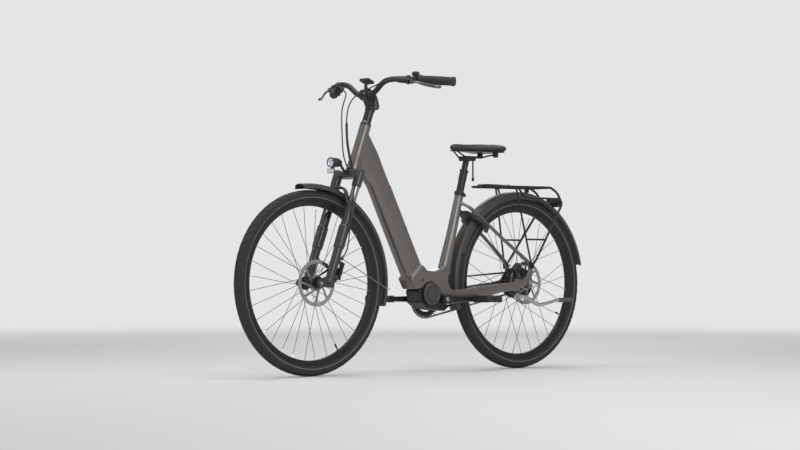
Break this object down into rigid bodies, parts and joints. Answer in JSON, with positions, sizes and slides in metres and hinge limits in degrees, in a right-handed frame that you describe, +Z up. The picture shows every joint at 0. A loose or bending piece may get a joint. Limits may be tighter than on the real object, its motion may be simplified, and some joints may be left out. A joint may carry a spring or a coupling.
{
  "type": "bicycle",
  "caption": "Step-through electric city bicycle with mid motor, hub gear, chain drive, disc brakes, sprung fork, mudguards, lights and a rear rack.",
  "frame": {"origin": "on the floor, at the middle of the bounding box", "axes": "+X points to the front wheel, +Y to the rider's left, +Z up"},
  "size_m": [1.8602, 0.748, 1.1788],
  "materials": {
    "frame_paint": "satin metallic grey-brown paint",
    "satin_black": "satin black anodised or painted alloy",
    "black_plastic": "fine grained",
    "disc_cover": "smooth dark grey",
    "guard_finish": "satin dark grey",
    "bare_alloy": "satin",
    "brushed_steel": "brushed",
    "chain_steel": "oiled",
    "tyre_rubber": "matt",
    "grip_rubber": "matt",
    "saddle_cover": "matt synthetic leather",
    "lamp_housing": "gloss",
    "rear_lens": "clear red",
    "hose_jacket": "smooth"
  },
  "bodies": {
    "frame": {"main_frame": "frame_paint", "battery_cover": "frame_paint", "motor": "satin_black", "motor_disc": "disc_cover", "skid_guard": "black_plastic", "upper_headset": "satin_black", "lower_headset": "satin_black", "seat_clamp": "satin_black", "rear_mudguard": "guard_finish", "rack": "bare_alloy", "rear_light": "rear_lens", "rear_caliper": "satin_black", "lock_housing": "black_plastic", "kickstand_bracket": "bare_alloy", "chain": "chain_steel", "rear_axle": "brushed_steel"},
    "steering": {"fork_crown": "satin_black", "stem": "satin_black", "handlebar": "satin_black", "left_grip": "grip_rubber", "right_grip": "grip_rubber", "display": "black_plastic", "headlight": "lamp_housing", "lamp_bracket": "satin_black", "left_lever_mount": "satin_black", "right_lever_mount": "satin_black", "remote": "black_plastic", "shifter_housing": "black_plastic", "front_brake_hose": "hose_jacket", "rear_brake_hose": "hose_jacket"},
    "fork_slider": {"fork_lowers": "satin_black", "front_mudguard": "guard_finish", "front_mudguard_stay": "brushed_steel", "front_caliper": "satin_black", "front_axle": "brushed_steel"},
    "front_wheel": {"front_tyre": "tyre_rubber", "front_rim": "satin_black", "front_hub": "satin_black", "front_rotor": "brushed_steel"},
    "rear_wheel": {"rear_tyre": "tyre_rubber", "rear_rim": "satin_black", "rear_hub": "satin_black", "rear_rotor": "brushed_steel"},
    "sprocket": {"rear_sprocket": "brushed_steel"},
    "crankset": {"right_crank": "bare_alloy", "left_crank": "bare_alloy", "chainring": "brushed_steel"},
    "left_pedal_body": {"left_pedal": "black_plastic"},
    "right_pedal_body": {"right_pedal": "black_plastic"},
    "left_lever": {"left_brake_lever": "satin_black"},
    "right_lever": {"right_brake_lever": "satin_black"},
    "rocker": {"remote_rocker": "black_plastic"},
    "shifter": {"shifter_ring": "grip_rubber"},
    "post": {"seatpost": "satin_black"},
    "seat": {"seat_head": "satin_black", "saddle_frame": "black_plastic", "saddle_pad": "saddle_cover"},
    "stand": {"kickstand_leg": "bare_alloy"},
    "bolt": {"lock_bolt": "brushed_steel"},
    "luggage_flap": {"rack_clamp": "black_plastic"}
  },
  "joints": [
    {"name": "steering_turn", "type": "hinge", "parent": "frame", "child": "steering", "pos_m": [0.29019, 0, 0.9791], "axis": [-0.3486, 0, 0.9373], "range_deg": [-60, 60], "deforming": ["rear_brake_hose"]},
    {"name": "fork_travel", "type": "slide", "parent": "steering", "child": "fork_slider", "axis": [-0.3486, 0, 0.9373], "range_m": [0, 0.04], "stiffness_N_per_m": 8000, "springref_m": -0.02, "deforming": ["front_brake_hose"]},
    {"name": "front_wheel_spin", "type": "hinge", "parent": "fork_slider", "child": "front_wheel", "pos_m": [0.57207, 0, 0.358], "axis": [0, 1, 0], "continuous": true},
    {"name": "rear_wheel_spin", "type": "hinge", "parent": "frame", "child": "rear_wheel", "pos_m": [-0.55293, 0, 0.358], "axis": [0, 1, 0], "continuous": true},
    {"name": "crank_spin", "type": "hinge", "parent": "frame", "child": "crankset", "pos_m": [-0.07593, 0, 0.293], "axis": [0, 1, 0], "continuous": true, "deforming": ["chain"]},
    {"name": "sprocket_spin", "type": "hinge", "parent": "frame", "child": "sprocket", "pos_m": [-0.55293, 0, 0.358], "axis": [0, 1, 0], "continuous": true},
    {"name": "left_pedal_spin", "type": "hinge", "parent": "crankset", "child": "left_pedal_body", "pos_m": [-0.24593, 0.078, 0.293], "axis": [0, 1, 0], "continuous": true},
    {"name": "right_pedal_spin", "type": "hinge", "parent": "crankset", "child": "right_pedal_body", "pos_m": [0.09407, -0.078, 0.293], "axis": [0, 1, 0], "continuous": true},
    {"name": "left_lever_pull", "type": "hinge", "parent": "steering", "child": "left_lever", "pos_m": [0.26757, 0.24569, 1.1368], "axis": [0, 0, 1], "range_deg": [0, 18], "stiffness_Nm_per_rad": 1, "springref_deg": -6.88},
    {"name": "right_lever_pull", "type": "hinge", "parent": "steering", "child": "right_lever", "pos_m": [0.26757, -0.24569, 1.1368], "axis": [0, 0, -1], "range_deg": [0, 18], "stiffness_Nm_per_rad": 1, "springref_deg": -6.88},
    {"name": "remote_rock", "type": "hinge", "parent": "steering", "child": "rocker", "pos_m": [0.21903, 0.22241, 1.1698], "axis": [-0.5281, 0.8451, -0.0827], "range_deg": [-6, 6], "stiffness_Nm_per_rad": 0.05},
    {"name": "shifter_turn", "type": "hinge", "parent": "steering", "child": "shifter", "pos_m": [0.22478, -0.24245, 1.14715], "axis": [-0.5281, -0.8451, -0.0827], "range_deg": [-45, 45]},
    {"name": "post_height", "type": "slide", "parent": "frame", "child": "post", "axis": [-0.2672, 0, 0.9636], "range_m": [-0.045, 0.05]},
    {"name": "seat_travel", "type": "slide", "parent": "post", "child": "seat", "axis": [-0.2672, 0, 0.9636], "range_m": [-0.035, 0], "stiffness_N_per_m": 15000, "springref_m": 0.01},
    {"name": "stand_swing", "type": "hinge", "parent": "frame", "child": "stand", "pos_m": [-0.47793, 0.0715, 0.3015], "axis": [0, -0.9659, -0.2588], "range_deg": [0, 92]},
    {"name": "bolt_turn", "type": "hinge", "parent": "frame", "child": "bolt", "pos_m": [-0.30912, 0, 0.60071], "axis": [0.585, 0, -0.811], "range_deg": [0, 68]},
    {"name": "flap_lift", "type": "hinge", "parent": "frame", "child": "luggage_flap", "pos_m": [-0.34593, 0, 0.758], "axis": [0, 1, 0], "range_deg": [0, 35], "stiffness_Nm_per_rad": 0.6, "springref_deg": -20.05}
  ],
  "couplings": [
    {"joint": "sprocket_spin", "follows": "crank_spin", "ratio": 1.7273}
  ]
}
